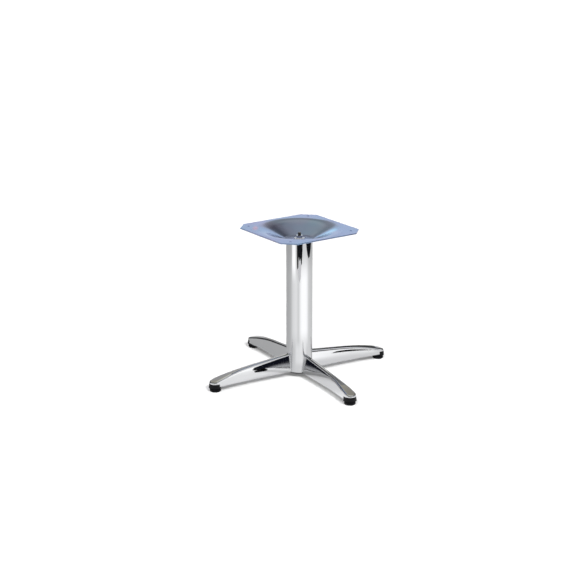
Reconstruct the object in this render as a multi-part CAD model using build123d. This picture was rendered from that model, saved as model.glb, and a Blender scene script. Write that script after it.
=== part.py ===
"""Low table base: a chromed tube on four pressed legs, a dished plate above, one tie rod through all.

Millimetres. +Z is up and Z = 0 is the floor. The tube stands on the Z axis and the legs lie
along +X, +Y, -X and -Y. The levelling feet are screwed fully in.
"""

from build123d import *
from math import atan, sqrt, tan
import os

# Overall sizes
plate_top_z = 441.5
foot_circle_r = 277.5
plate_side = 271.0
column_d = 76.0
leg_count = 4

# Levelling feet, M8
pad_r = 16.3
pad_h = 8.5
pad_sole_inset = 1.8
pad_edge_z = 4.6
pad_crown_inset = 3.6
neck_r = 9.5
neck_h = 2.1
neck_gap = 0.4
stud_d = 8.0
stud_head_d = 14.0
stud_head_t = 2.0
stud_head_z = 3.0
stud_above_neck = 14.0
stud_chamfer = 0.8
moulded_gap = 0.02

# Threaded inserts
insert_d = 12.0
insert_len = 10.0
insert_lip_d = 15.0
insert_lip_t = 1.5
insert_groove = 0.5
run_clearance = 0.05

# Nose caps, moulded
cap_collar_r = 17.3
cap_collar_h = 5.3
cap_collar_bend_r = 1.0
cap_clearance = 0.2
cap_tongue_len = 40.0
cap_wall = 2.5
stud_room = 0.6

# Legs, pressed from sheet and open below
leg_t = 2.0
leg_top_at_column = 70.0
leg_slope = 0.10
arch_start = 150.0
skirt_rise = 7.5
nose_lip = 3.5
nose_r = 18.3
top_half_at_column = 6.0
leg_draft = 0.14
flare_power = 7
leg_edge_bend_r = 6.0
leg_root_back = 7.0
flank_end_back = 5.5
weld_gap = 0.05

# Column tube
column_wall = 1.5

# Top plate, a square sheet pressed into a shallow dish
plate_t = 3.0
plate_clip = 34.0
plate_turn = 4.6
flange_margin = 5.5
shoulder_bend_r = 100.0
dish_depth = 30.0
dish_floor_margin = 7.0
dish_floor_bend_r = 6.0
screw_hole_d = 7.0
screw_edge_distance = 19.6

# Tie rod with its nuts and washers, M10
rod_d = 10.0
rod_past_nut = 8.5
nut_flats = 17.0
nut_h = 8.0
nut_chamfer = 1.0
washer_d = 30.0
washer_t = 2.5
rod_hole_clearance = 0.5
thread_clearance = 0.03

# Clamping cup under the tube
cup_t = 3.0
cup_rise = 11.0
cup_floor_margin = 5.0
cup_shoulder_inset = 5.5
cup_bend_r = 3.0
cup_rim_inset = 0.5

# Places that follow from the sizes
neck_top_z = pad_h + neck_h
cap_floor_z = neck_top_z + neck_gap
leg_floor_z = cap_floor_z + cap_collar_h + cap_clearance
skirt_z = leg_floor_z + skirt_rise
arch_tip_z = skirt_z + nose_lip
leg_tip = foot_circle_r + nose_r
column_r = column_d / 2
bore_r = column_r - column_wall
dish_floor_z = plate_top_z - dish_depth
column_top_z = dish_floor_z - plate_t
rod_hole_r = rod_d / 2 + rod_hole_clearance
cup_roof_z = leg_floor_z + cup_rise
stud_top_z = neck_top_z + stud_above_neck
leg_angles = [360 / leg_count * index for index in range(leg_count)]
leg_names = ["a", "b", "c", "d", "e", "f"][:leg_count]


def dish_corners():
    """Radii where the dish's floor and its flange would meet the straight wall, and the shoulder's bend."""
    floor_r = column_r + dish_floor_margin
    run = plate_side / 2 - flange_margin - floor_r
    bend = min(shoulder_bend_r, 0.95 * (run ** 2 / dish_depth + dish_depth) / 2)
    half_tan = (run - sqrt(run ** 2 + dish_depth * (dish_depth - 2 * bend))) / (2 * bend - dish_depth)
    return floor_r, floor_r + run - bend * half_tan, bend


def sheet_profile(points, bends, thickness):
    """Section of a pressed sheet from four points along its upper side, with bends at the middle two."""
    (x1, z1), (x2, z2) = points[1:3]
    shift = thickness * tan(atan((z2 - z1) / (x2 - x1)) / 2)
    grow = thickness if z2 > z1 else -thickness
    lower = [(x + dx, z - thickness) for (x, z), dx in zip(points, (0, shift, shift, 0))]
    with BuildSketch(Plane.XZ) as profile:
        with BuildLine():
            FilletPolyline(*points, radius=bends)
            FilletPolyline(*lower, radius=[bends[0] + grow, bends[1] - grow])
            Line(points[0], lower[0])
            Line(points[-1], lower[-1])
        make_face()
    return profile.sketch


def top_plate():
    """Square sheet with clipped corners, pressed into a round dish, with a screw hole at each corner."""
    floor_r, rim_r, bend = dish_corners()
    points = [
        (rod_hole_r, dish_floor_z),
        (floor_r, dish_floor_z),
        (rim_r, plate_top_z),
        (plate_side, plate_top_z),
    ]
    dished = revolve(sheet_profile(points, [dish_floor_bend_r, bend], plate_t), Axis.Z)
    screw_circle_r = (plate_side - plate_clip) / sqrt(2) - screw_edge_distance
    with BuildSketch() as outline:
        Rectangle(plate_side, plate_side)
        chamfer(outline.vertices(), plate_clip)
        with PolarLocations(screw_circle_r, 4, start_angle=45):
            Circle(screw_hole_d / 2, mode=Mode.SUBTRACT)
    blank = extrude(outline.sketch, plate_top_z + plate_t)
    return (dished & blank).rotate(Axis.Z, plate_turn)


def column_tube():
    """Plain round tube between the clamping cup and the dish."""
    length = column_top_z - leg_floor_z
    tube = Cylinder(column_r, length) - Cylinder(bore_r, length)
    return Pos(0, 0, leg_floor_z + length / 2) * tube


def washer(z):
    """Wide flat washer, its lower face at z."""
    ring = Cylinder(washer_d / 2, washer_t) - Cylinder(rod_hole_r, washer_t)
    return Pos(0, 0, z + washer_t / 2) * ring


def nut(z):
    """Hexagon nut on the rod, chamfered on both faces, its lower face at z."""
    hexagon = extrude(RegularPolygon(nut_flats / 2, 6, major_radius=False), nut_h / 2, both=True)
    corner_r = nut_flats / sqrt(3)
    turned = chamfer(Cylinder(corner_r, nut_h).edges().filter_by(GeomType.CIRCLE), nut_chamfer)
    bored = (hexagon & turned) - Cylinder(rod_d / 2 + thread_clearance, nut_h)
    return Pos(0, 0, z + nut_h / 2) * bored


def tie_rod():
    """Rod through the whole base, chamfered at both ends."""
    top = dish_floor_z + washer_t + nut_h + rod_past_nut
    foot = cup_roof_z - cup_t - washer_t - nut_h - nut_chamfer
    rod = chamfer(Cylinder(rod_d / 2, top - foot).edges().filter_by(GeomType.CIRCLE), nut_chamfer)
    return Pos(0, 0, (top + foot) / 2) * rod


def clamp_cup():
    """Pressed cup under the tube: its rim carries the tube and its raised floor hides the nut."""
    points = [
        (rod_hole_r, cup_roof_z),
        (washer_d / 2 + cup_floor_margin, cup_roof_z),
        (bore_r - cup_shoulder_inset, leg_floor_z),
        (column_r - cup_rim_inset, leg_floor_z),
    ]
    return revolve(sheet_profile(points, [cup_bend_r + cup_t, cup_bend_r], cup_t), Axis.Z)


def arch_circle():
    """Centre (s, z) and radius of the arc that ends the leg's top line, tangent to its straight part."""
    z = leg_top_at_column - leg_slope * (arch_start - column_r)
    down = Vector(-leg_slope, -1).normalized()
    chord = Vector(leg_tip - arch_start, arch_tip_z - z)
    radius = chord.dot(chord) / (2 * chord.dot(down))
    return Vector(arch_start, z) + down * radius, radius


def arch_height(s):
    """Height of the leg's top at the distance s from the column's axis."""
    if s <= arch_start:
        return leg_top_at_column - leg_slope * (s - column_r)
    centre, radius = arch_circle()
    return centre.Y + sqrt(radius ** 2 - (s - centre.X) ** 2)


def arch_block(inset):
    """Block below the leg's top line, lowered by inset, wider than any leg."""
    centre, radius = arch_circle()

    def on_arc(s):
        spoke = (Vector(s, arch_height(s)) - centre).normalized()
        return centre + spoke * (radius - inset)

    near = on_arc(arch_start)
    middle = on_arc((arch_start + leg_tip) / 2)
    far = on_arc(leg_tip + nose_r)
    root = (0, near.Y + leg_slope * near.X)
    with BuildSketch(Plane.XZ) as side:
        with BuildLine():
            Line(root, near)
            ThreePointArc(near, middle, far)
            Polyline(far, (far.X, -leg_floor_z), (0, -leg_floor_z), root)
        make_face()
    return extrude(side.sketch, 2 * nose_r, both=True)


def top_half(share):
    """Half width of the leg's top before its edges are rounded, at a share of the way to the foot."""
    at_nose = nose_r - leg_draft * (arch_height(foot_circle_r) - leg_floor_z)
    flare = share ** flare_power * (flare_power + 1 - flare_power * share)
    return top_half_at_column + (at_nose - top_half_at_column) * flare


def leg_form(inset):
    """Solid form of a leg along +X, its sides and top set in by inset; it runs down past the leg's floor."""
    low_z = cap_floor_z - stud_room
    start = column_r - leg_root_back
    sections = []
    for share in (0.0, 0.25, 0.5, 0.7, 0.85, 1.0):
        s = start + share * (foot_circle_r - start)
        tall_z = arch_height(s) + leg_edge_bend_r
        foot_half = top_half(share) + leg_draft * (arch_height(s) - low_z) - inset
        tall_half = top_half(share) - leg_draft * leg_edge_bend_r - inset
        corners = [(-foot_half, low_z), (foot_half, low_z), (tall_half, tall_z), (-tall_half, tall_z)]
        across = Plane(origin=(s, 0, 0), x_dir=(0, 1, 0), z_dir=(1, 0, 0))
        sections.append(across * Polygon(*corners, align=None))
    base = (Align.CENTER, Align.CENTER, Align.MIN)
    nose = Pos(foot_circle_r, 0, low_z) * Cone(foot_half, tall_half, tall_z - low_z, align=base)
    nose = split(nose, Plane.YZ.offset(foot_circle_r), keep=Keep.TOP)
    form = ((loft(sections) + nose) & arch_block(inset)).solid()
    rim = [
        edge
        for edge in form.edges()
        if edge.geom_type != GeomType.LINE and edge.bounding_box().min.Z > leg_floor_z
    ]
    return form.fillet(leg_edge_bend_r - inset, rim) if inset < leg_edge_bend_r else form


def beyond(s, low_z, high_z):
    """Block over everything further out than s, between two heights."""
    base = (Align.MIN, Align.CENTER, Align.MIN)
    return Pos(s, 0, low_z) * Box(foot_circle_r, 4 * nose_r, high_z - low_z, align=base)


def leg():
    """Pressed channel along +X, open below, with a short skirt round its nose, coped to the tube."""
    shell = leg_form(0) - leg_form(leg_t)
    shell -= beyond(0, -leg_floor_z, leg_floor_z)
    shell -= beyond(foot_circle_r - flank_end_back, 0, skirt_z)
    return shell - Cylinder(column_r + weld_gap, 2 * plate_top_z)


def nose_cap():
    """Plug in the end of a leg: a block under the skirt, a round collar and a hollow tongue inside."""
    base = (Align.CENTER, Align.CENTER, Align.MIN)
    floor = Pos(foot_circle_r, 0, cap_floor_z)
    fit = leg_t + cap_clearance
    tongue_start = foot_circle_r - cap_tongue_len
    block_start = foot_circle_r - flank_end_back + cap_clearance
    block = leg_form(0) & beyond(block_start, cap_floor_z, skirt_z - cap_clearance)
    collar = floor * Cylinder(cap_collar_r, cap_collar_h, align=base)
    collar = fillet(collar.edges().group_by(Axis.Z)[0], cap_collar_bend_r)
    tongue = leg_form(fit) & beyond(tongue_start, leg_floor_z - cap_clearance, leg_top_at_column)
    pocket = leg_form(fit + cap_wall) & beyond(tongue_start + cap_wall, 0, leg_top_at_column)
    pocket -= beyond(foot_circle_r - cap_collar_r, 0, leg_top_at_column)
    rib = Pos(tongue_start, 0, 0) * Box(cap_tongue_len, cap_wall, leg_top_at_column, align=base)
    plug = block + collar + (tongue - (pocket - rib))
    insert_bore = Cylinder(insert_d / 2 + moulded_gap, insert_len + moulded_gap, align=base)
    lip_bore = Cylinder(insert_lip_d / 2 + moulded_gap, insert_lip_t + moulded_gap, align=base)
    stud_bore = Cylinder(stud_d / 2 + stud_room, stud_top_z - cap_floor_z + stud_room, align=base)
    return plug - floor * (insert_bore + lip_bore + stud_bore)


def insert():
    """Threaded insert under the nose: a grooved sleeve with a lip, on the foot's axis."""
    thread_r = stud_d / 2 + run_clearance
    outer_r = insert_d / 2
    groove_z = (insert_lip_t + insert_len) / 2
    base = (Align.CENTER, Align.CENTER, Align.MIN)
    sleeve = Cylinder(outer_r, insert_len, align=base)
    sleeve += Cylinder(insert_lip_d / 2, insert_lip_t, align=base)
    ring = Cylinder(outer_r, insert_lip_t, align=base)
    ring -= Cylinder(outer_r - insert_groove, insert_lip_t, align=base)
    sleeve -= Pos(0, 0, groove_z) * ring
    sleeve -= Cylinder(thread_r, insert_len, align=base)
    return Pos(foot_circle_r, 0, cap_floor_z) * sleeve


def stud_form(gap):
    """Stud with its flat head, grown by gap."""
    base = (Align.CENTER, Align.CENTER, Align.MIN)
    head = Cylinder(stud_head_d / 2 + gap, stud_head_t + 2 * gap, align=base)
    length = stud_top_z - stud_head_z
    shank = Cylinder(stud_d / 2 + gap, length, align=base)
    shank = chamfer(shank.edges().group_by(Axis.Z)[-1], stud_chamfer)
    return Pos(foot_circle_r, 0, stud_head_z - gap) * (head + shank)


def glide_pad():
    """Moulded foot: flat sole, bulged edge, crowned top and a short neck, moulded round the stud's head."""
    sole_r = pad_r - pad_sole_inset
    crown_r = pad_r - pad_crown_inset
    with BuildSketch(Plane.XZ) as profile:
        with BuildLine():
            Line((0, 0), (sole_r, 0))
            ThreePointArc((sole_r, 0), (pad_r, pad_edge_z), (crown_r, pad_h))
            Polyline((crown_r, pad_h), (neck_r, pad_h), (neck_r, neck_top_z), (0, neck_top_z), (0, 0))
        make_face()
    return Pos(foot_circle_r, 0, 0) * revolve(profile.sketch, Axis.Z) - stud_form(moulded_gap)


def base_pieces():
    """Every piece by its node name."""
    pieces = {
        "top_plate": top_plate(),
        "column_tube": column_tube(),
        "tie_rod": tie_rod(),
        "top_washer": washer(dish_floor_z),
        "top_nut": nut(dish_floor_z + washer_t),
        "clamp_cup": clamp_cup(),
        "bottom_washer": washer(cup_roof_z - cup_t - washer_t),
        "bottom_nut": nut(cup_roof_z - cup_t - washer_t - nut_h),
    }
    on_each_leg = {
        "leg": leg(),
        "nose_cap": nose_cap(),
        "thread_insert": insert(),
        "glide_pad": glide_pad(),
        "glide_stud": stud_form(0),
    }
    for name, angle in zip(leg_names, leg_angles):
        for kind, piece in on_each_leg.items():
            pieces[f"{kind}_{name}"] = piece.rotate(Axis.Z, angle)
    return pieces


os.makedirs("parts", exist_ok=True)
for node, piece in base_pieces().items():
    export_step(piece, f"parts/{node}.step")
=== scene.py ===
"""Looks of the low table base: polished chrome, bluish plated sheet, black plastic and zinc-plated steel."""

import math

import bmesh
import bpy
from mathutils import Matrix, Vector


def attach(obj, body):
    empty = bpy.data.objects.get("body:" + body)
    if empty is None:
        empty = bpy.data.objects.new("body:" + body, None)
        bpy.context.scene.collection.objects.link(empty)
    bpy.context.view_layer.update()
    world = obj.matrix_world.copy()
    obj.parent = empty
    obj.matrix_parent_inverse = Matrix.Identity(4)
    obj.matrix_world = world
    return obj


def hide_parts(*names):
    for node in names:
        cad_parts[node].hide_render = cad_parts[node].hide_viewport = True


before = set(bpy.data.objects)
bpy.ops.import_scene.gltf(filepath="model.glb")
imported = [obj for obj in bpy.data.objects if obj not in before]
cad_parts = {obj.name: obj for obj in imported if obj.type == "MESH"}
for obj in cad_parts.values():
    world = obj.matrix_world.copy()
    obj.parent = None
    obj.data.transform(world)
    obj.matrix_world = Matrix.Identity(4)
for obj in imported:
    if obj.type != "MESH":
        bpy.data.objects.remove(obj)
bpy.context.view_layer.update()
MM = 0.001

# Sizes of the real object, in millimetres or degrees, as the solids have them
COLUMN_R = 38.0
COLUMN_WALL = 1.5
LEG_FLOOR_Z = 16.5
DISH_DEPTH = 30.0
PLATE_TOP_Z = 441.5
PLATE_T = 3.0
PLATE_SIDE = 271.0
PLATE_CLIP = 34.0
PLATE_TURN = 4.6
FLANGE_MARGIN = 5.5
SHOULDER_BEND_R = 100.0
DISH_FLOOR_R = 45.0
DISH_FLOOR_BEND_R = 6.0
ROD_HOLE_R = 5.5
SCREW_HOLE_R = 3.5
SCREW_EDGE_DISTANCE = 19.6
FOOT_CIRCLE_R = 277.5
LEG_T = 2.0
LEG_TOP_AT_COLUMN = 70.0
LEG_SLOPE = 0.10
ARCH_START = 150.0
ARCH_TIP_Z = 27.5
SKIRT_Z = 24.0
NOSE_R = 18.3
TOP_HALF_AT_COLUMN = 6.0
LEG_DRAFT = 0.14
LEG_BULGE = 0.023
FLARE_POWER = 7
LEG_BEND_R = 6.0
LEG_ROOT_BACK = 7.0
FLANK_END_BACK = 5.5
WELD_GAP = 0.05
STUD_D = 8.0
STUD_PITCH = 1.25
STUD_LOW_Z = 3.0
STUD_TOP_Z = 24.6
STUD_CHAMFER = 0.8
STUD_HEAD_R = 7.0
STUD_HEAD_Z = 5.0
STUD_THREAD_Z = 5.6
ROD_D = 10.0
ROD_PITCH = 1.5
ROD_LOW_Z = 13.0
ROD_CHAMFER = 1.0
ROD_UPPER_THREAD_Z = 396.0
ROD_LOWER_THREAD_Z = 44.0
ROD_PAST_NUT = 8.5
WASHER_T = 2.5
NUT_H = 8.0
NO_THREAD_Z = -50.0
THREAD_DEPTH_SHARE = 0.6134
BEAD_R = 0.9
BEAD_RIPPLE = 0.05
BEAD_RIPPLE_LENGTH = 1.6
LEG_NAMES = "abcd"

# How finely the round forms are divided
TUBE_FACETS = 256
BAR_FACETS = 36
SCREW_HOLE_FACETS = 48
DISH_FLOOR_BEND_STEPS = 10
SHOULDER_BEND_STEPS = 36
LEG_BEND_STEPS = 12
FLANK_STEPS = 96
NOSE_STEPS = 48
LOWER_ROW_SHARES = (0.0, 0.33, 0.67)
LOWER_ROWS = len(LOWER_ROW_SHARES)
THREAD_ROWS = 10
BEAD_STEPS = 240
BEAD_FACETS = 12

# The photograph's view: degrees that the camera stands round, its place and aim in metres, and its lens
CAMERA_TURN = 30.6
CAMERA_PLACE = (-1.9797, -3.3475, 1.4573)
CAMERA_AIM = (-0.01824, 0.01079, 0.2516)
CAMERA_SENSOR_MM = 36.0
CAMERA_LENS_MM = 86.69
FLOOR_Z = -0.0003


def new_mesh_object(name, vertices, faces, edges=()):
    """Object at the origin from vertices in metres."""
    mesh = bpy.data.meshes.new(name)
    mesh.from_pydata(vertices, edges, faces)
    mesh.validate()
    piece = bpy.data.objects.new(name, mesh)
    bpy.context.scene.collection.objects.link(piece)
    return piece


def bake(piece):
    """Turns a piece's modifiers into its plain mesh."""
    depsgraph = bpy.context.evaluated_depsgraph_get()
    depsgraph.update()
    mesh = bpy.data.meshes.new_from_object(piece.evaluated_get(depsgraph), depsgraph=depsgraph)
    mesh.name = piece.name
    piece.modifiers.clear()
    piece.data = mesh
    return piece


def shade(piece, sharp_deg):
    """Smooth shading with edges sharper than an angle kept sharp."""
    for polygon in piece.data.polygons:
        polygon.use_smooth = True
    piece.data.set_sharp_from_angle(angle=math.radians(sharp_deg))


def clean(piece, merge_mm=0.005):
    """Merges doubled vertices and points every face outwards."""
    work = bmesh.new()
    work.from_mesh(piece.data)
    bmesh.ops.remove_doubles(work, verts=work.verts, dist=merge_mm * MM)
    bmesh.ops.dissolve_degenerate(work, edges=work.edges, dist=1e-7)
    bmesh.ops.recalc_face_normals(work, faces=work.faces)
    work.to_mesh(piece.data)
    work.free()


def settle(piece, body, material, replaced=None):
    """Gives a finished piece its body and its material, and hides the solid that it stands for."""
    piece.data.materials.clear()
    piece.data.materials.append(material)
    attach(piece, body)
    if replaced:
        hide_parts(replaced)


def turned_copy(piece, name, angle_deg):
    """Copy of a piece, its mesh turned about the column's axis."""
    copy = piece.copy()
    copy.data = piece.data.copy()
    copy.name = name
    copy.data.name = name
    copy.data.transform(Matrix.Rotation(math.radians(angle_deg), 4, "Z"))
    bpy.context.scene.collection.objects.link(copy)
    return copy


def fillet_arc(before, corner, after, radius, count):
    """Points of the arc that rounds a corner of a 2-D line, from its first tangent point to its last."""
    back = (before - corner).normalized()
    on = (after - corner).normalized()
    turn = math.pi - back.angle(on)
    reach = radius * math.tan(turn / 2)
    centre = corner + (back + on).normalized() * (radius / math.cos(turn / 2))
    first = corner + back * reach - centre
    last = corner + on * reach - centre
    points = []
    for index in range(count + 1):
        share = index / count
        spoke = first * math.sin((1 - share) * turn) + last * math.sin(share * turn)
        points.append(centre + spoke / math.sin(turn))
    return points


def lathe(name, profile, segments, closed=True):
    """Turned piece round the column's axis from (r, z) points in millimetres; closed makes a ring."""
    vertices = []
    for index in range(segments):
        angle = 2 * math.pi * index / segments
        cosine, sine = math.cos(angle) * MM, math.sin(angle) * MM
        vertices.extend((r * cosine, r * sine, z * MM) for r, z in profile)
    rows = len(profile)
    faces = []
    for index in range(segments):
        here, there = index * rows, (index + 1) % segments * rows
        for row in range(rows if closed else rows - 1):
            after = (row + 1) % rows
            faces.append((here + row, there + row, there + after, here + after))
    return new_mesh_object(name, vertices, faces)


def make_tube():
    """The column with small deburred edges at both ends."""
    low, high = LEG_FLOOR_Z, PLATE_TOP_Z - DISH_DEPTH - PLATE_T
    outer, inner = COLUMN_R, COLUMN_R - COLUMN_WALL
    edge, land, bands = 0.3, 0.3, 24
    soft = edge * 0.3
    heights = [low + edge, low + edge + land]
    heights += [low + (high - low) * index / bands for index in range(1, bands)]
    heights += [high - edge - land, high - edge]
    profile = [(outer, z) for z in heights]
    profile += [(outer - soft, high - soft), (outer - edge, high)]
    profile += [(inner + edge, high), (inner + soft, high - soft)]
    profile += [(inner, z) for z in reversed(heights)]
    profile += [(inner + soft, low + soft), (inner + edge, low)]
    profile += [(outer - edge, low), (outer - soft, low + soft)]
    tube = lathe("tube", profile, TUBE_FACETS)
    clean(tube)
    shade(tube, sharp_deg=35)
    return tube


def plate_limit(angle):
    """Distance from the middle to the plate's outline, and how far a step square to the edge goes."""
    turned = abs((math.degrees(angle) + 45) % 90 - 45)
    side = math.radians(turned)
    clip = math.radians(45 - turned)
    to_side = PLATE_SIDE / 2 / math.cos(side)
    to_clip = (PLATE_SIDE - PLATE_CLIP) / math.sqrt(2) / math.cos(clip)
    if to_side < to_clip:
        return to_side, 1 / math.cos(side)
    return to_clip, 1 / math.cos(clip)


def dish_section(lift):
    """Points of the dish's upper side (lift 0) or lower side (lift = thickness), from the hole outwards."""
    run = PLATE_SIDE / 2 - FLANGE_MARGIN - DISH_FLOOR_R
    bend = SHOULDER_BEND_R
    root = math.sqrt(run * run + DISH_DEPTH * (DISH_DEPTH - 2 * bend))
    half_tan = (run - root) / (2 * bend - DISH_DEPTH)
    rim_r = DISH_FLOOR_R + run - bend * half_tan
    shift = lift * math.tan(math.atan(DISH_DEPTH / (rim_r - DISH_FLOOR_R)) / 2)
    floor_z, top_z = PLATE_TOP_Z - DISH_DEPTH - lift, PLATE_TOP_Z - lift
    hole = Vector((ROD_HOLE_R, floor_z))
    low = Vector((DISH_FLOOR_R + shift, floor_z))
    high = Vector((rim_r + shift, top_z))
    out = Vector((PLATE_SIDE, top_z))
    floor_arc = fillet_arc(hole, low, high, DISH_FLOOR_BEND_R + lift, DISH_FLOOR_BEND_STEPS)
    shoulder = fillet_arc(low, high, out, bend - lift, SHOULDER_BEND_STEPS)
    points = [hole + (floor_arc[0] - hole) * share for share in (0.0, 0.012, 0.3, 0.6, 0.85)]
    points += floor_arc
    points += [floor_arc[-1].lerp(shoulder[0], share) for share in (0.2, 0.4, 0.6, 0.8)]
    return points + shoulder


def make_plate():
    """The pressed plate as a polar lattice: exact dish, flat flange, clipped corners, fine edge."""
    side_steps, clip_steps, edge, land, drill_length = 22, 6, 0.45, 0.4, 20.0
    corner = math.degrees(math.atan2(PLATE_SIDE / 2 - PLATE_CLIP, PLATE_SIDE / 2))
    octant = [corner * index / side_steps for index in range(side_steps)]
    octant += [corner + (45 - corner) * index / clip_steps for index in range(clip_steps)]
    quarter = octant + [90 - angle for angle in reversed(octant[1:])]
    quarter.insert(len(octant), 45.0)
    angles = [math.radians(angle + 90 * side) for side in range(4) for angle in quarter]
    upper, lower = dish_section(0.0), dish_section(PLATE_T)
    vertices = []
    for angle in angles:
        limit, scale = plate_limit(angle)
        turned = angle + math.radians(PLATE_TURN)
        line = [(point.x, point.y) for point in upper]
        start = upper[-1].x
        flat_end = limit - edge * scale
        line += [(start + (flat_end - start) * share, PLATE_TOP_Z) for share in (0.3, 0.65)]
        line += [(flat_end - land * scale, PLATE_TOP_Z), (flat_end, PLATE_TOP_Z)]
        for step in (0.33, 0.67, 1.0):
            arc = step * math.pi / 2
            z = PLATE_TOP_Z - edge * (1 - math.cos(arc))
            line.append((limit - edge * scale * (1 - math.sin(arc)), z))
        for step in (0.0, 0.33, 0.67, 1.0):
            arc = step * math.pi / 2
            z = PLATE_TOP_Z - PLATE_T + edge * (1 - math.sin(arc))
            line.append((limit - edge * scale * (1 - math.cos(arc)), z))
        start = lower[-1].x
        line.append((flat_end - land * scale, PLATE_TOP_Z - PLATE_T))
        line += [(start + (flat_end - start) * share, PLATE_TOP_Z - PLATE_T) for share in (0.65, 0.3)]
        line += [(point.x, point.y) for point in reversed(lower)]
        vertices.extend((r * math.cos(turned) * MM, r * math.sin(turned) * MM, z * MM) for r, z in line)
    rows = len(line)
    faces = []
    for index in range(len(angles)):
        here, there = index * rows, (index + 1) % len(angles) * rows
        for row in range(rows):
            after = (row + 1) % rows
            faces.append((here + row, there + row, there + after, here + after))
    plate = new_mesh_object("plate", vertices, faces)
    clean(plate)
    circle = (PLATE_SIDE - PLATE_CLIP) / math.sqrt(2) - SCREW_EDGE_DISTANCE
    for side in range(4):
        turned = math.radians(45 + 90 * side + PLATE_TURN)
        bpy.ops.mesh.primitive_cylinder_add(
            vertices=SCREW_HOLE_FACETS,
            radius=SCREW_HOLE_R * MM,
            depth=drill_length * MM,
            location=(circle * math.cos(turned) * MM, circle * math.sin(turned) * MM, PLATE_TOP_Z * MM),
        )
        drill = bpy.context.object
        cut = plate.modifiers.new("hole", "BOOLEAN")
        cut.operation = "DIFFERENCE"
        cut.solver = "EXACT"
        cut.object = drill
        bake(plate)
        bpy.data.objects.remove(drill)
    shade(plate, sharp_deg=40)
    return plate


def arch_centre():
    """Centre and radius of the arc that ends the leg's top line."""
    z = LEG_TOP_AT_COLUMN - LEG_SLOPE * (ARCH_START - COLUMN_R)
    down = Vector((-LEG_SLOPE, -1)).normalized()
    chord = Vector((FOOT_CIRCLE_R + NOSE_R - ARCH_START, ARCH_TIP_Z - z))
    radius = chord.dot(chord) / (2 * chord.dot(down))
    return Vector((ARCH_START, z)) + down * radius, radius


def arch_line(s, inset):
    """Height and slope of the leg's top at a distance from the column's axis, outside or inside."""
    centre, radius = arch_centre()
    join = Vector((ARCH_START, LEG_TOP_AT_COLUMN - LEG_SLOPE * (ARCH_START - COLUMN_R)))
    near = centre + (join - centre) * ((radius - inset) / radius)
    if s <= near.x:
        return near.y + LEG_SLOPE * (near.x - s), -LEG_SLOPE
    rise = math.sqrt((radius - inset) ** 2 - (s - centre.x) ** 2)
    return centre.y + rise, -(s - centre.x) / rise


def leg_foot_half(s):
    """Half width of the leg at its lower edge, at a distance from the column's axis."""
    start = COLUMN_R - LEG_ROOT_BACK
    share = (s - start) / (FOOT_CIRCLE_R - start)
    flare = share ** FLARE_POWER * (FLARE_POWER + 1 - FLARE_POWER * share)
    at_nose = NOSE_R - LEG_DRAFT * (arch_line(FOOT_CIRCLE_R, 0.0)[0] - LEG_FLOOR_Z)
    top = TOP_HALF_AT_COLUMN + (at_nose - TOP_HALF_AT_COLUMN) * flare
    return top + LEG_DRAFT * (arch_line(s, 0.0)[0] - LEG_FLOOR_Z)


def leg_section(s, swing, inset):
    """Half section of the leg as (across, height), from the lower edge up; swing turns it at the nose."""
    low = leg_foot_half(s) - inset
    side = math.sin(swing)

    def top(across):
        return arch_line(s + across * side, inset)[0]

    guess = low - LEG_DRAFT * (top(low) - LEG_FLOOR_Z)
    guess = low - LEG_DRAFT * (top(guess) - LEG_FLOOR_Z)
    corner = Vector((guess, top(guess)))
    tall = corner.y - LEG_FLOOR_Z

    def flank(z):
        up = z - LEG_FLOOR_Z
        return Vector((low - (LEG_DRAFT - LEG_BULGE) * up - LEG_BULGE * up * up / tall, z))

    down, inner = 20.0, corner.x - 3.0
    under = corner + Vector((LEG_DRAFT + LEG_BULGE, -1.0)) * down
    inward = Vector((inner, top(inner)))
    arc = fillet_arc(under, corner, inward, LEG_BEND_R - inset, LEG_BEND_STEPS)
    arc = [Vector((point.x, max(point.y, SKIRT_Z))) for point in arc]
    heights = [LEG_FLOOR_Z + (SKIRT_Z - LEG_FLOOR_Z) * share for share in LOWER_ROW_SHARES]
    heights += [SKIRT_Z + (arc[0].y - SKIRT_Z) * share for share in (0.0, 0.12, 0.26, 0.42, 0.6, 0.8)]
    points = [flank(z) for z in heights]
    points += arc
    for share in (0.8, 0.6, 0.4, 0.2, 0.0):
        across = arc[-1].x * share
        points.append(Vector((across, top(across))))
    return points


def leg_lattice(inset):
    """Stations round the leg's outside or inside: from the column out, round the nose and back."""
    root = COLUMN_R + WELD_GAP
    back = FOOT_CIRCLE_R - FLANK_END_BACK
    spread = [root + (back - root) * index / FLANK_STEPS for index in range(FLANK_STEPS + 1)]
    spread += [back + FLANK_END_BACK * index / 3 for index in (1, 2)]
    one_side = []
    for s in spread:
        section = leg_section(s, 0.0, inset)
        line = []
        for point in section:
            x = math.sqrt(root * root - point.x ** 2) if s == root else s
            line.append((x, point.x, point.y))
        one_side.append(line)
    nose = []
    for index in range(NOSE_STEPS + 1):
        swing = math.pi * index / NOSE_STEPS
        line = []
        for point in leg_section(FOOT_CIRCLE_R, swing, inset):
            line.append((FOOT_CIRCLE_R + point.x * math.sin(swing), point.x * math.cos(swing), point.y))
        nose.append(line)
    other_side = [[(x, -y, z) for x, y, z in line] for line in reversed(one_side)]
    return one_side + nose + other_side


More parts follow.
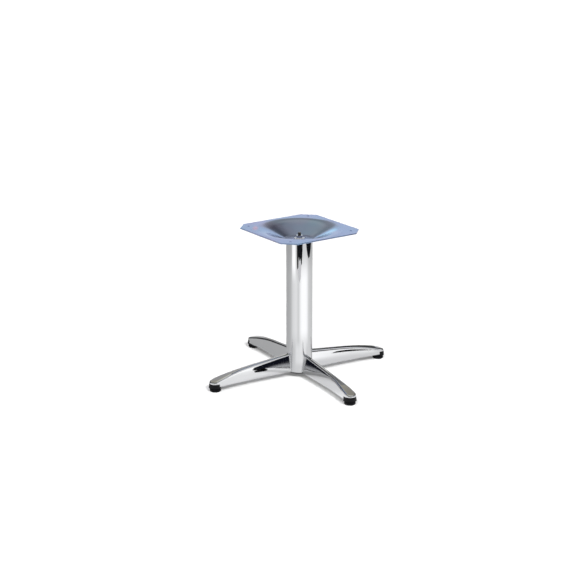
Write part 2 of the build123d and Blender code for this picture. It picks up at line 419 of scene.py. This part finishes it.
def make_leg(name):
    """The pressed channel along +X: outside and inside lattices joined along every cut edge."""
    vertices, faces, starts = [], [], []
    for inset in (0.0, LEG_T):
        stations = leg_lattice(inset)
        starts.append(len(vertices))
        for line in stations:
            vertices.extend((x * MM, y * MM, z * MM) for x, y, z in line)
    count, rows = len(stations), len(stations[0])
    full = FLANK_STEPS + 1

    def add_face(flip, *corners):
        face = [starts[layer] + station * rows + row for layer, station, row in corners]
        faces.append(face[::-1] if flip else face)

    def lowest_row(station):
        whole = station < full or station >= count - full
        return 0 if whole else LOWER_ROWS

    def close_cut(flip, station, row):
        add_face(flip, (0, station, row), (0, station, row + 1), (1, station, row + 1), (1, station, row))

    for layer in (0, 1):
        for station in range(count - 1):
            on = station + 1
            for row in range(max(lowest_row(station), lowest_row(on)), rows - 1):
                up = row + 1
                corners = ((layer, station, row), (layer, on, row), (layer, on, up), (layer, station, up))
                add_face(layer == 1, *corners)
    for station in range(count - 1):
        on = station + 1
        low = max(lowest_row(station), lowest_row(on))
        add_face(False, (0, station, low), (1, station, low), (1, on, low), (0, on, low))
    for station in (full - 1, count - full):
        for row in range(LOWER_ROWS):
            close_cut(station != full - 1, station, row)
    for station in (0, count - 1):
        for row in range(rows - 1):
            close_cut(station == 0, station, row)
    leg = new_mesh_object(name, vertices, faces)
    clean(leg, merge_mm=0.004)
    shade(leg, sharp_deg=38)
    return leg


class Nodes:
    """Short way to write a node tree: nodes with their settings and inputs, values or sockets."""

    def __init__(self, tree):
        self.tree = tree

    def add(self, kind, settings=None, **inputs):
        """New node; an input is named with _ for each space, or i and its number."""
        node = self.tree.nodes.new(kind)
        for name, value in (settings or {}).items():
            setattr(node, name, value)
        for name, value in inputs.items():
            self.join(node, name, value)
        return node

    def join(self, node, name, value):
        """Links a socket, or sets a value, on one input."""
        key = int(name[1:]) if name[0] == "i" and name[1:].isdigit() else name.replace("_", " ")
        socket = node.inputs[key]
        if isinstance(value, bpy.types.NodeSocket):
            self.tree.links.new(value, socket)
        else:
            socket.default_value = value

    def math(self, operation, first, second=0.0, third=0.0, clamp=False):
        settings = {"operation": operation, "use_clamp": clamp}
        return self.add("ShaderNodeMath", settings, i0=first, i1=second, i2=third).outputs[0]

    def vector(self, operation, first, second=(0.0, 0.0, 0.0)):
        node = self.add("ShaderNodeVectorMath", {"operation": operation}, i0=first, i1=second)
        return node.outputs["Value" if operation in ("DOT_PRODUCT", "LENGTH") else "Vector"]

    def product(self, first, *others):
        for value in others:
            first = self.math("MULTIPLY", first, value)
        return first

    def between(self, value, low, high, to_low=0.0, to_high=1.0, smooth=True):
        """Value that passes from one level to another as the input goes from low to high."""
        settings = {"interpolation_type": "SMOOTHSTEP" if smooth else "LINEAR"}
        node = self.add("ShaderNodeMapRange", settings, Value=value)
        node.inputs["From Min"].default_value = low
        node.inputs["From Max"].default_value = high
        node.inputs["To Min"].default_value = to_low
        node.inputs["To Max"].default_value = to_high
        return node.outputs["Result"]

    def ramp(self, value, stops, interpolation="LINEAR"):
        """Colour that follows a value through (place, colour) stops."""
        node = self.add("ShaderNodeValToRGB", Fac=value)
        node.color_ramp.interpolation = interpolation
        points = node.color_ramp.elements
        while len(points) < len(stops):
            points.new(0.5)
        for point, (place, color) in zip(points, stops):
            point.position = place
            point.color = (*color, 1.0)
        return node.outputs[0]

    def mix(self, share, first, second):
        """Colour between two, the second a socket or a plain colour."""
        if isinstance(second, tuple):
            second = (*second, 1.0)
        return self.add("ShaderNodeMix", {"data_type": "RGBA"}, i0=share, i6=first, i7=second).outputs[2]


def start_group(name, sizes):
    """New tree of geometry nodes with named inputs for its sizes and for its finish."""
    group = bpy.data.node_groups.new(name, "GeometryNodeTree")
    group.interface.new_socket("Geometry", in_out="INPUT", socket_type="NodeSocketGeometry")
    for size in sizes:
        group.interface.new_socket(size, in_out="INPUT", socket_type="NodeSocketFloat")
    group.interface.new_socket("Finish", in_out="INPUT", socket_type="NodeSocketMaterial")
    group.interface.new_socket("Geometry", in_out="OUTPUT", socket_type="NodeSocketGeometry")
    return group, Nodes(group), group.nodes.new("NodeGroupInput")


def end_group(build, entry, shape):
    """Ends a tree of geometry nodes with plain geometry in its finish."""
    whole = build.add("GeometryNodeRealizeInstances", Geometry=shape)
    made = build.add("GeometryNodeSetMaterial", Geometry=whole.outputs[0], Material=entry.outputs["Finish"])
    build.add("NodeGroupOutput", Geometry=made.outputs[0])


def thread_group():
    """Geometry nodes that cut a helical thread into a turned piece whose axis is Z."""
    sizes = ("Pitch", "Crest radius", "Depth", "Upper start", "Lower end")
    group, build, entry = start_group("thread", sizes)
    place = build.add("GeometryNodeInputPosition").outputs[0]
    split = build.add("ShaderNodeSeparateXYZ", Vector=place)
    x, y, z = split.outputs
    turns = build.math("DIVIDE", build.math("ARCTAN2", y, x), 2 * math.pi)
    rise = build.math("DIVIDE", z, entry.outputs["Pitch"])
    phase = build.math("FRACT", build.math("SUBTRACT", rise, turns))
    ridge = build.math("MULTIPLY", build.math("ABSOLUTE", build.math("SUBTRACT", phase, 0.5)), 2.0)
    crest_end, root_start, run_out = 0.125, 0.75, 1.2 * MM
    groove = build.between(ridge, crest_end, root_start, smooth=False)
    above = build.math("SUBTRACT", z, entry.outputs["Upper start"])
    below = build.math("SUBTRACT", entry.outputs["Lower end"], z)
    up = build.math("MULTIPLY", above, 1 / run_out, clamp=True)
    down = build.math("MULTIPLY", below, 1 / run_out, clamp=True)
    zone = build.math("ADD", up, down, clamp=True)
    cut = build.math("MULTIPLY", build.math("MULTIPLY", groove, entry.outputs["Depth"]), zone)
    thread_r = build.math("SUBTRACT", entry.outputs["Crest radius"], cut)
    flat = build.add("ShaderNodeCombineXYZ", X=x, Y=y)
    own_r = build.vector("LENGTH", flat.outputs[0])
    new_r = build.math("MINIMUM", own_r, thread_r)
    outward = build.vector("NORMALIZE", flat.outputs[0])
    moved = build.add("ShaderNodeVectorMath", {"operation": "SCALE"}, i0=outward)
    build.join(moved, "Scale", new_r)
    height = build.add("ShaderNodeCombineXYZ", Z=z)
    target = build.vector("ADD", moved.outputs["Vector"], height.outputs[0])
    shift = build.add("GeometryNodeSetPosition", Geometry=entry.outputs["Geometry"], Position=target)
    end_group(build, entry, shift.outputs[0])
    return group


def run_group(piece, group, values):
    """Runs geometry nodes on a piece with named inputs and keeps the result as its mesh."""
    modifier = piece.modifiers.new("rule", "NODES")
    modifier.node_group = group
    for item in group.interface.items_tree:
        if item.item_type == "SOCKET" and item.in_out == "INPUT" and item.name in values:
            modifier[item.identifier] = values[item.name]
    return bake(piece)


def threaded_bar(name, finish, group, low, high, radius, pitch, chamfer, upper_start, lower_end, head=None):
    """Turned bar on the Z axis, chamfered, with threads above one height and below another."""
    step, plain_step, soft = pitch / THREAD_ROWS, 12.0, 0.3
    zones = []
    z = low + chamfer
    while z < high - chamfer:
        zones.append(z)
        inside = z > upper_start - step or z < lower_end + step
        z += step if inside else min(plain_step, max(step, upper_start - z))
    zones.append(high - chamfer)
    if head:
        head_r, head_z = head
        profile = [(0.0, low), (head_r - soft, low), (head_r, low + soft)]
        profile += [(head_r, head_z - soft), (head_r - soft, head_z), (radius, head_z)]
        profile += [(radius, z) for z in zones if z > head_z]
    else:
        profile = [(0.0, low), (radius - chamfer, low)] + [(radius, z) for z in zones]
    profile += [(radius - chamfer, high), (0.0, high)]
    bar = lathe(name, profile, BAR_FACETS, closed=False)
    run_group(bar, group, {
        "Pitch": pitch * MM,
        "Crest radius": radius * MM,
        "Depth": THREAD_DEPTH_SHARE * pitch * MM,
        "Upper start": upper_start * MM,
        "Lower end": lower_end * MM,
        "Finish": finish,
    })
    clean(bar, merge_mm=0.001)
    shade(bar, sharp_deg=42)
    return bar


def bead_group():
    """Geometry nodes that lay a slightly rippled weld bead along the edges that come in."""
    group, build, entry = start_group("bead", ("Radius", "Ripple", "Ripple length"))
    curve = build.add("GeometryNodeMeshToCurve", Mesh=entry.outputs["Geometry"])
    fine = build.add("GeometryNodeResampleCurve", Curve=curve.outputs[0], Count=BEAD_STEPS)
    bead_r = entry.outputs["Radius"]
    ring = build.add("GeometryNodeCurvePrimitiveCircle", Resolution=BEAD_FACETS, Radius=bead_r)
    sweep = build.add("GeometryNodeCurveToMesh", Curve=fine.outputs[0], Profile_Curve=ring.outputs[0])
    sweep.inputs["Fill Caps"].default_value = True
    place = build.add("GeometryNodeInputPosition").outputs[0]
    height = build.add("ShaderNodeSeparateXYZ", Vector=place).outputs[2]
    turn = build.math("MULTIPLY", build.math("DIVIDE", height, entry.outputs["Ripple length"]), 2 * math.pi)
    noise = build.add("ShaderNodeTexNoise", Vector=place, Scale=420.0)
    uneven = build.math("ADD", build.math("SINE", turn), build.math("MULTIPLY", noise.outputs[0], 1.5))
    normal = build.add("GeometryNodeInputNormal").outputs[0]
    offset = build.add("ShaderNodeVectorMath", {"operation": "SCALE"}, i0=normal)
    build.join(offset, "Scale", build.math("MULTIPLY", uneven, entry.outputs["Ripple"]))
    moved = offset.outputs["Vector"]
    shift = build.add("GeometryNodeSetPosition", Geometry=sweep.outputs[0], Offset=moved)
    end_group(build, entry, shift.outputs[0])
    return group


def make_bead(name, finish, group):
    """Weld bead round the foot of a leg, where its outside meets the tube."""
    root = COLUMN_R + WELD_GAP
    section = leg_section(root, 0.0, 0.0)
    line = [section[0].lerp(section[1], 0.08)] + section[1:]
    half = [(math.sqrt(root * root - point.x ** 2) * MM, point.x * MM, point.y * MM) for point in line]
    points = half + [(x, -y, z) for x, y, z in reversed(half[:-1])]
    bead = new_mesh_object(name, points, [], [(index, index + 1) for index in range(len(points) - 1)])
    run_group(bead, group, {
        "Radius": BEAD_R * MM,
        "Ripple": BEAD_RIPPLE * MM,
        "Ripple length": BEAD_RIPPLE_LENGTH * MM,
        "Finish": finish,
    })
    clean(bead, merge_mm=0.001)
    shade(bead, sharp_deg=60)
    return bead


def tinted(build, place, tints):
    """Colour that drifts slowly over the surface between the given tints."""
    wash = build.add("ShaderNodeTexNoise", Vector=place, Scale=9.0, Detail=2.0)
    return build.ramp(wash.outputs[0], tints)


def with_painted_highlight(build, place, paint, painted_highlight):
    """A paint with one soft oval spot of painted highlight, given by its middle, its turn, its half sizes
    and its colour.
    """
    middle, turn, half_sizes, hue = painted_highlight
    patch = build.add("ShaderNodeMapping", {"vector_type": "TEXTURE"}, Vector=place, Location=middle)
    patch.inputs["Rotation"].default_value = (0.0, 0.0, turn)
    patch.inputs["Scale"].default_value = half_sizes
    spot = build.between(build.vector("LENGTH", patch.outputs[0]), 0.2, 1.0, 0.85, 0.0)
    return build.mix(spot, paint, hue)


def scratched(build, place, depth):
    """Height of fine scratches that run one way over the surface."""
    turn, scale = (0.3, 0.5, 0.2), (60.0, 900.0, 900.0)
    stretch = build.add("ShaderNodeMapping", Vector=place, Rotation=turn, Scale=scale)
    streaks = build.add("ShaderNodeTexNoise", Vector=stretch.outputs[0], Scale=1.0, Detail=3.0)
    return build.math("MULTIPLY", streaks.outputs[0], depth)


def grained(build, place, size, depth):
    """Height of the grain of a moulded or painted surface."""
    speck = build.add("ShaderNodeTexNoise", Vector=place, Scale=size, Detail=4.0)
    return build.math("MULTIPLY", speck.outputs[0], depth)


def material(name):
    """Empty material with its node helper and its output node."""
    made = bpy.data.materials.new(name)
    made.use_nodes = True
    made.node_tree.nodes.clear()
    build = Nodes(made.node_tree)
    output = build.add("ShaderNodeOutputMaterial")
    return made, build, output


def surface(
    name,
    color,
    metallic,
    roughness,
    smudge=0.0,
    specular=0.5,
    tints=None,
    painted_highlight=None,
    scratch=None,
    grain=None,
):
    """Finish from one principled shader; tints, a spot of painted highlight, smudges, scratches and grain
    use Object coordinates.
    """
    made, build, output = material(name)
    place = build.add("ShaderNodeTexCoord").outputs["Object"]
    shader = build.add("ShaderNodeBsdfPrincipled", Metallic=metallic, Roughness=roughness)
    shader.inputs["Base Color"].default_value = (*color, 1.0)
    shader.inputs["Specular IOR Level"].default_value = specular
    if tints:
        paint = tinted(build, place, tints)
        # A spot of painted highlight laid over the tints
        if painted_highlight:
            paint = with_painted_highlight(build, place, paint, painted_highlight)
        build.join(shader, "Base Color", paint)
    if smudge:
        cloud = build.add("ShaderNodeTexNoise", Vector=place, Scale=26.0, Detail=5.0)
        haze = build.between(cloud.outputs[0], 0.48, 0.72, roughness, roughness + smudge)
        build.join(shader, "Roughness", haze)
    height = None
    if scratch:
        height = scratched(build, place, scratch)
    if grain:
        height = grained(build, place, *grain)
    if height is not None:
        bump = build.add("ShaderNodeBump", Height=height, Strength=1.0, Distance=0.001)
        build.join(shader, "Normal", bump.outputs[0])
    build.join(output, "Surface", shader.outputs[0])
    return made


METAL, NO_METAL = 1.0, 0.0
SHEET_BLUE = (0.285, 0.362, 0.56)
SHEET_TINTS = ((0.36, (0.26, 0.385, 0.58)), (0.5, SHEET_BLUE), (0.64, (0.325, 0.345, 0.54)))
# A painted pink highlight on the plate: its middle in metres, its half sizes and its colour
PINK_HIGHLIGHT_MIDDLE = (-0.1063, 0.0679, PLATE_TOP_Z * MM)
PINK_HIGHLIGHT_HALF_SIZES = (0.012, 0.036, 0.012)
PINK_HIGHLIGHT = (0.56, 0.33, 0.43)

CHROME = surface("polished_chrome", (0.575, 0.58, 0.59), METAL, 0.03, smudge=0.04)
SHEET = surface(
    "plated_sheet",
    SHEET_BLUE,
    METAL,
    0.14,
    smudge=0.08,
    tints=SHEET_TINTS,
    # The pink spot is a painted highlight
    painted_highlight=(PINK_HIGHLIGHT_MIDDLE, math.radians(-CAMERA_TURN), PINK_HIGHLIGHT_HALF_SIZES, PINK_HIGHLIGHT),
    scratch=0.02,
)
ZINC = surface("zinc_steel", (0.62, 0.63, 0.64), METAL, 0.15, smudge=0.1)
DARK = surface("dark_steel", (0.16, 0.15, 0.145), METAL, 0.32, smudge=0.1)
PAINT_BLACK, PAINT_GRAIN = (0.006, 0.006, 0.007), (900.0, 0.02)
PLASTIC_BLACK, PLASTIC_GRAIN = (0.005, 0.005, 0.006), (2600.0, 0.03)
PAINT = surface("black_paint", PAINT_BLACK, NO_METAL, 0.42, smudge=0.1, specular=0.3, grain=PAINT_GRAIN)
PLASTIC = surface("black_plastic", PLASTIC_BLACK, NO_METAL, 0.46, specular=0.12, grain=PLASTIC_GRAIN)
SOLID_FINISHES = {
    "top_washer": ZINC,
    "top_nut": ZINC,
    "bottom_washer": ZINC,
    "bottom_nut": ZINC,
    "thread_insert": ZINC,
    "clamp_cup": PAINT,
    "nose_cap": PLASTIC,
    "glide_pad": PLASTIC,
}


def finish_solids():
    """Gives the solids that stay as they are their finish, by the kind of piece."""
    for name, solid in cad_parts.items():
        kind = name.rsplit("_", 1)[0] if name[-2] == "_" else name
        if kind in SOLID_FINISHES:
            solid.data.materials.clear()
            solid.data.materials.append(SOLID_FINISHES[kind])


def add_column_and_plate():
    """The tube and the plate; the floor shows only the contact shadows of the legs and feet."""
    for piece, slot, finish, node in (
        (make_tube(), "chrome", CHROME, "column_tube"),
        (make_plate(), "plated_sheet", SHEET, "top_plate"),
    ):
        settle(piece, "base", finish, node)
        piece.visible_shadow = False


def add_rod(group):
    """The tie rod, threaded at both ends."""
    top = PLATE_TOP_Z - DISH_DEPTH + WASHER_T + NUT_H + ROD_PAST_NUT
    size = (ROD_LOW_Z, top, ROD_D / 2, ROD_PITCH, ROD_CHAMFER)
    ends = (ROD_UPPER_THREAD_Z, ROD_LOWER_THREAD_Z)
    rod = threaded_bar("rod", DARK, group, *size, *ends)
    settle(rod, "base", DARK, "tie_rod")


def make_stud(name, group):
    """A levelling foot's stud, under the nose of the first leg."""
    head = (STUD_HEAD_R, STUD_HEAD_Z)
    ends = (STUD_THREAD_Z, NO_THREAD_Z)
    size = (STUD_LOW_Z, STUD_TOP_Z, STUD_D / 2, STUD_PITCH, STUD_CHAMFER)
    stud = threaded_bar(name, ZINC, group, *size, *ends, head)
    stud.data.transform(Matrix.Translation((FOOT_CIRCLE_R * MM, 0.0, 0.0)))
    return stud


def add_legs(first_shell, first_bead, first_stud):
    """Four legs, each with its weld bead and its foot's stud, a quarter turn apart."""
    for place, letter in enumerate(LEG_NAMES):
        shell, bead, stud = first_shell, first_bead, first_stud
        if place:
            shell = turned_copy(first_shell, f"leg_shell_{letter}", 90 * place)
            bead = turned_copy(first_bead, f"weld_{letter}", 90 * place)
            stud = turned_copy(first_stud, f"stud_{letter}", 90 * place)
        settle(shell, "base", CHROME, f"leg_{letter}")
        settle(bead, "base", CHROME)
        settle(stud, f"foot_{letter}", ZINC, f"glide_stud_{letter}")


def studio_direction(azimuth):
    """Level direction in the studio: -90 degrees points towards the photograph's view, 0 to its right."""
    turned = math.radians(azimuth - CAMERA_TURN)
    return (math.cos(turned), math.sin(turned), 0.0)


def show_to_mirrors(card):
    """Hides a card from the camera, from matt light, from shadows and from refraction, so that only mirrors
    see it.
    """
    card.visible_camera = False
    card.visible_diffuse = False
    card.visible_shadow = False
    card.visible_transmission = False


def make_floor():
    """White floor with soft contact shadows; mirrors see pools of light and one dark streak on it.

    All are set by azimuth and by distance from the column in metres. Only shallow rays find the streak.
    """
    side = 40.0
    corners = [(x * side, y * side, FLOOR_Z) for x, y in ((-1, -1), (1, -1), (1, 1), (-1, 1))]
    floor = new_mesh_object("floor", corners, [(0, 1, 2, 3)])
    made, build, output = material("white_floor")
    path = build.add("ShaderNodeLightPath")
    mirrored = path.outputs["Is Glossy Ray"]
    place = build.add("ShaderNodeTexCoord").outputs["Object"]
    outward = build.vector("NORMALIZE", place)
    distance = build.vector("LENGTH", place)

    def toward(azimuth, low, high, to_low=0.0, to_high=1.0, smooth=True):
        facing = build.vector("DOT_PRODUCT", outward, studio_direction(azimuth))
        return build.between(facing, low, high, to_low, to_high, smooth)

    room = toward(-55, -1.0, 0.5, 0.08, 0.50, smooth=False)
    ring_inside = build.between(distance, 0.13, 0.19, 0.0, 0.22)
    ring_outside = build.between(distance, 0.28, 0.38, 1.0, 0.0)
    ring = build.product(ring_inside, ring_outside, toward(-75, 0.6, 0.85))
    windows = build.math("ADD", toward(-49, 0.62, 1.0, 0.0, 0.68), toward(-132, 0.80, 1.0, 0.0, 0.26))
    windows = build.product(windows, build.between(distance, 0.25, 0.48, 0.05, 1.0))
    near = build.math("ADD", build.math("ADD", room, ring), windows)
    near = build.product(near, build.between(distance, 1.0, 1.45, 1.0, 0.45))
    far = build.product(toward(-139, 0.93, 0.985), build.between(distance, 0.95, 1.3, 0.0, 0.85))
    pools = build.product(build.math("ADD", near, far), mirrored)

    ray = build.add("ShaderNodeSeparateXYZ", Vector=build.add("ShaderNodeNewGeometry").outputs["Incoming"])
    shallow = build.between(build.math("ABSOLUTE", ray.outputs[2]), 0.097, 0.108, 1.0, 0.0)
    streak_start = build.between(distance, 0.54, 0.57)
    streak_end = build.between(distance, 0.84, 0.92, 1.0, 0.0)
    streak = build.product(toward(-13, 0.9942, 0.9952), streak_start, streak_end, shallow, mirrored)

    # Painted shade for mirrors: the floor's matt tone is 0.9 to the camera and 0.5 to mirrors
    tone_dimmed_for_mirrors = build.between(mirrored, 0.0, 1.0, 0.9, 0.5, smooth=False)
    diffuse = build.add("ShaderNodeBsdfDiffuse", Color=tone_dimmed_for_mirrors)
    lift_to_white = 0.14
    to_camera = build.product(path.outputs["Is Camera Ray"], lift_to_white)
    glow = build.add("ShaderNodeEmission", Strength=build.math("ADD", pools, to_camera))
    lit = build.add("ShaderNodeAddShader", i0=diffuse.outputs[0], i1=glow.outputs[0])
    night = build.add("ShaderNodeEmission", Strength=0.02)
    last = build.add("ShaderNodeMixShader", i0=streak, i1=lit.outputs[0], i2=night.outputs[0])
    build.join(output, "Surface", last.outputs[0])
    floor.data.materials.append(made)


def floor_card(name, near_edge, far, strength, color, lift_mm):
    """Card on the floor that only mirrors see; its near edge is points of (azimuth, distance in metres)."""
    far_edge = [(azimuth, far) for azimuth, _ in reversed(near_edge)]
    corners = []
    for azimuth, distance in (*near_edge, *far_edge):
        x, y, _ = studio_direction(azimuth)
        corners.append((x * distance, y * distance, FLOOR_Z + lift_mm * MM))
    card = new_mesh_object(name, corners, [tuple(range(len(corners)))])
    made, build, output = material(name)
    light = build.add("ShaderNodeEmission", Strength=strength, Color=(*color, 1.0))
    build.join(output, "Surface", light.outputs[0])
    card.data.materials.append(made)
    show_to_mirrors(card)


def wall_card(name, stops, away, left, right, high):
    """Upright card behind the base that only mirrors see, and that works like a louvre.

    Its tone follows its height by stops in metres. Falling rays pass it, and slanting ones find it dark.
    """
    x, y, _ = studio_direction(90)
    corners = []
    for along, z in ((left, 0.0), (right, 0.0), (right, high), (left, high)):
        corners.append((x * away + y * along, y * away - x * along, z))
    wall = new_mesh_object(name, corners, [(0, 1, 2, 3)])
    made, build, output = material(name)
    place = build.add("ShaderNodeTexCoord").outputs["Object"]
    height = build.add("ShaderNodeSeparateXYZ", Vector=place).outputs[2]
    greys = [(z / high, (tone, tone, tone)) for z, tone in stops]
    light = build.add("ShaderNodeEmission", Color=build.ramp(build.math("DIVIDE", height, high), greys))
    night = build.add("ShaderNodeEmission", Strength=0.06)
    ray = build.add("ShaderNodeNewGeometry").outputs["Incoming"]
    rise = build.add("ShaderNodeSeparateXYZ", Vector=ray).outputs[2]
    rising = build.between(rise, -0.01, 0.0, 1.0, 0.0)
    level = build.vector("NORMALIZE", build.vector("MULTIPLY", ray, (1.0, 1.0, 0.0)))
    straight = build.between(build.vector("DOT_PRODUCT", level, studio_direction(-90)), 0.90, 0.92)
    front = build.add("ShaderNodeMixShader", i0=straight, i1=night.outputs[0], i2=light.outputs[0])
    nothing = build.add("ShaderNodeBsdfTransparent")
    last = build.add("ShaderNodeMixShader", i0=rising, i1=nothing.outputs[0], i2=front.outputs[0])
    build.join(output, "Surface", last.outputs[0])
    wall.data.materials.append(made)
    show_to_mirrors(wall)


# What mirrors see on the floor, as near edges of (azimuth, distance in metres)
DARK_FRONT_EDGE = (
    (-111, 1.50),
    (-109, 1.17),
    (-99, 1.19),
    (-96, 1.34),
    (-91, 1.29),
    (-79, 1.31),
    (-74, 1.22),
    (-68, 1.24),
    (-62, 1.48),
)
DARK_RIGHT_EDGE = ((-33, 1.56), (-18, 1.37), (-8, 1.31), (7, 1.31), (20, 1.38), (33, 1.54))
GREY_FRONT_EDGE = ((-101, 1.10), (-92, 1.02), (-84, 1.00), (-77, 1.08), (-75, 1.20))
NIGHT = (0.7, 0.75, 1.0)
PALE = (1.0, 1.0, 1.02)

# What rising rays see behind the base, as (height in metres, tone)
BEHIND_LEFT_TONES = (
    (0.00, 0.38),
    (0.12, 0.38),
    (0.20, 0.60),
    (0.24, 1.05),
    (0.28, 1.05),
    (0.34, 0.50),
    (0.41, 0.45),
)
BEHIND_RIGHT_TONES = (
    (0.00, 0.08),
    (0.19, 0.08),
    (0.21, 1.15),
    (0.25, 1.15),
    (0.29, 0.28),
    (0.36, 0.20),
    (0.43, 0.32),
)

# What mirrors see above the floor, as (sine of the elevation, colour)
SKY_BEHIND = (
    (0.00, (0.76, 0.83, 0.94)),
    (0.28, (0.79, 0.86, 0.98)),
    (0.34, (0.92, 0.93, 0.95)),
    (0.41, (0.30, 0.29, 0.28)),
    (0.48, (0.20, 0.19, 0.18)),
    (0.60, (0.19, 0.18, 0.17)),
    (0.72, (0.36, 0.34, 0.30)),
    (0.83, (0.54, 0.52, 0.44)),
    (1.00, (0.58, 0.57, 0.49)),
)
SKY_MIDDLE = (
    (0.00, (0.76, 0.83, 0.94)),
    (0.28, (0.79, 0.86, 0.98)),
    (0.34, (0.92, 0.93, 0.95)),
    (0.41, (0.44, 0.42, 0.37)),
    (0.52, (0.46, 0.44, 0.38)),
    (0.67, (0.76, 0.72, 0.58)),
    (0.80, (0.69, 0.68, 0.56)),
    (1.00, (0.60, 0.60, 0.52)),
)
SKY_AROUND = (
    (0.00, (0.80, 0.80, 0.83)),
    (0.10, (1.15, 1.15, 1.18)),
    (0.30, (1.25, 1.25, 1.28)),
    (0.45, (1.00, 1.02, 1.05)),
    (0.60, (0.34, 0.35, 0.36)),
    (1.00, (0.38, 0.39, 0.32)),
)

# Round patches in that sky: azimuth, elevation, cosines at the outer and inner edge, colour
SKY_PATCHES = (
    (101, 12, 0.992, 0.998, (0.98, 1.32, 1.40)),
    (30, 50, 0.95, 0.98, (0.07, 0.07, 0.075)),
    (146, 40, 0.927, 0.961, (0.12, 0.12, 0.13)),
    (15, 72, 0.94, 0.965, (1.05, 1.05, 1.05)),
)
DARK_ROOM_FRONT = (0.012, 0.014, 0.026)
DARK_ROOM_RIGHT = (0.02, 0.02, 0.025)
WHITE = (1.0, 1.0, 1.0, 1.0)
MATT_LIGHT = 0.22
BACKGROUND_LIGHT = 1.1


def make_world():
    """Even light for matt surfaces, white behind the object, and for mirrors a sky with dark patches."""
    world = bpy.data.worlds.new("studio")
    bpy.context.scene.world = world
    world.use_nodes = True
    world.node_tree.nodes.clear()
    build = Nodes(world.node_tree)
    direction = build.add("ShaderNodeTexCoord").outputs["Generated"]
    rise = build.add("ShaderNodeSeparateXYZ", Vector=direction).outputs[2]
    level = build.vector("NORMALIZE", build.vector("MULTIPLY", direction, (1.0, 1.0, 0.0)))

    def toward(azimuth, low, high):
        return build.between(build.vector("DOT_PRODUCT", level, studio_direction(azimuth)), low, high)

    tone = build.ramp(rise, SKY_AROUND, "EASE")
    tone = build.mix(toward(90, 0.35, 0.75), tone, build.ramp(rise, SKY_BEHIND, "EASE"))
    tone = build.mix(toward(102, 0.85, 0.985), tone, build.ramp(rise, SKY_MIDDLE, "EASE"))
    front_band = build.product(build.between(rise, 0.0, 0.025), build.between(rise, 0.30, 0.42, 1.0, 0.0))
    tone = build.mix(build.product(toward(-90, 0.80, 0.88), front_band), tone, DARK_ROOM_FRONT)
    right_band = build.between(rise, 0.04, 0.08, 1.0, 0.0)
    tone = build.mix(build.product(toward(-6, 0.72, 0.80), right_band), tone, DARK_ROOM_RIGHT)
    for azimuth, elevation, outer_edge, inner_edge, color in SKY_PATCHES:
        x, y, _ = studio_direction(azimuth)
        up = math.radians(elevation)
        aim = (x * math.cos(up), y * math.cos(up), math.sin(up))
        facing = build.vector("DOT_PRODUCT", build.vector("NORMALIZE", direction), aim)
        tone = build.mix(build.between(facing, outer_edge, inner_edge), tone, color)

    mirror = build.add("ShaderNodeBackground", Color=tone)
    matt = build.add("ShaderNodeBackground", Color=WHITE, Strength=MATT_LIGHT)
    white = build.add("ShaderNodeBackground", Color=WHITE, Strength=BACKGROUND_LIGHT)
    path = build.add("ShaderNodeLightPath")
    sharp = build.math("ADD", path.outputs["Is Glossy Ray"], path.outputs["Is Transmission Ray"], clamp=True)
    unseen = build.add("ShaderNodeMixShader", i0=sharp, i1=matt.outputs[0], i2=mirror.outputs[0])
    seen = path.outputs["Is Camera Ray"]
    last = build.add("ShaderNodeMixShader", i0=seen, i1=unseen.outputs[0], i2=white.outputs[0])
    output = build.add("ShaderNodeOutputWorld")
    build.join(output, "Surface", last.outputs[0])


def add_sun(name, azimuth, elevation, strength, spread):
    """Soft light that mirrors don't see; azimuth 0 is behind the camera, positive to its right."""
    data = bpy.data.lights.new(name, "SUN")
    data.energy = strength
    data.angle = math.radians(spread)
    sun = bpy.data.objects.new(name, data)
    bpy.context.scene.collection.objects.link(sun)
    x, y, _ = studio_direction(azimuth - 90.0)
    up = math.radians(elevation)
    to_light = Vector((x * math.cos(up), y * math.cos(up), math.sin(up)))
    sun.rotation_mode = "QUATERNION"
    sun.rotation_quaternion = to_light.to_track_quat("Z", "Y")
    sun.visible_glossy = False


def add_camera():
    """The camera at the photograph's view."""
    data = bpy.data.cameras.new("camera")
    data.sensor_width = CAMERA_SENSOR_MM
    data.lens = CAMERA_LENS_MM
    data.clip_start = 0.05
    data.clip_end = 200.0
    camera = bpy.data.objects.new("camera", data)
    bpy.context.scene.collection.objects.link(camera)
    camera.location = CAMERA_PLACE
    aim = Vector(CAMERA_AIM) - Vector(CAMERA_PLACE)
    camera.rotation_mode = "QUATERNION"
    camera.rotation_quaternion = aim.to_track_quat("-Z", "Y")
    bpy.context.scene.camera = camera


finish_solids()
add_column_and_plate()
leg_shell = make_leg("leg_shell_a")
weld_bead = make_bead("weld_a", CHROME, bead_group())
thread = thread_group()
add_rod(thread)
add_legs(leg_shell, weld_bead, make_stud("stud_a", thread))

make_floor()
floor_card("dark_front", DARK_FRONT_EDGE, far=1.9, strength=0.012, color=NIGHT, lift_mm=0.7)
floor_card("dark_right", DARK_RIGHT_EDGE, far=6.0, strength=0.012, color=NIGHT, lift_mm=0.7)
floor_card("grey_front", GREY_FRONT_EDGE, far=1.9, strength=0.95, color=PALE, lift_mm=0.3)
wall_card("dark_left", BEHIND_LEFT_TONES, away=0.42, left=-1.7, right=0.03, high=0.41)
wall_card("dark_right_behind", BEHIND_RIGHT_TONES, away=0.20, left=0.03, right=0.80, high=0.43)
make_world()
add_sun("key", azimuth=25.0, elevation=42.0, strength=2.5, spread=18.0)
add_sun("fill", azimuth=-20.0, elevation=46.0, strength=1.4, spread=28.0)
add_camera()

scene = bpy.context.scene
scene.view_settings.view_transform = "Standard"
scene.cycles.max_bounces = 10
scene.cycles.glossy_bounces = 8
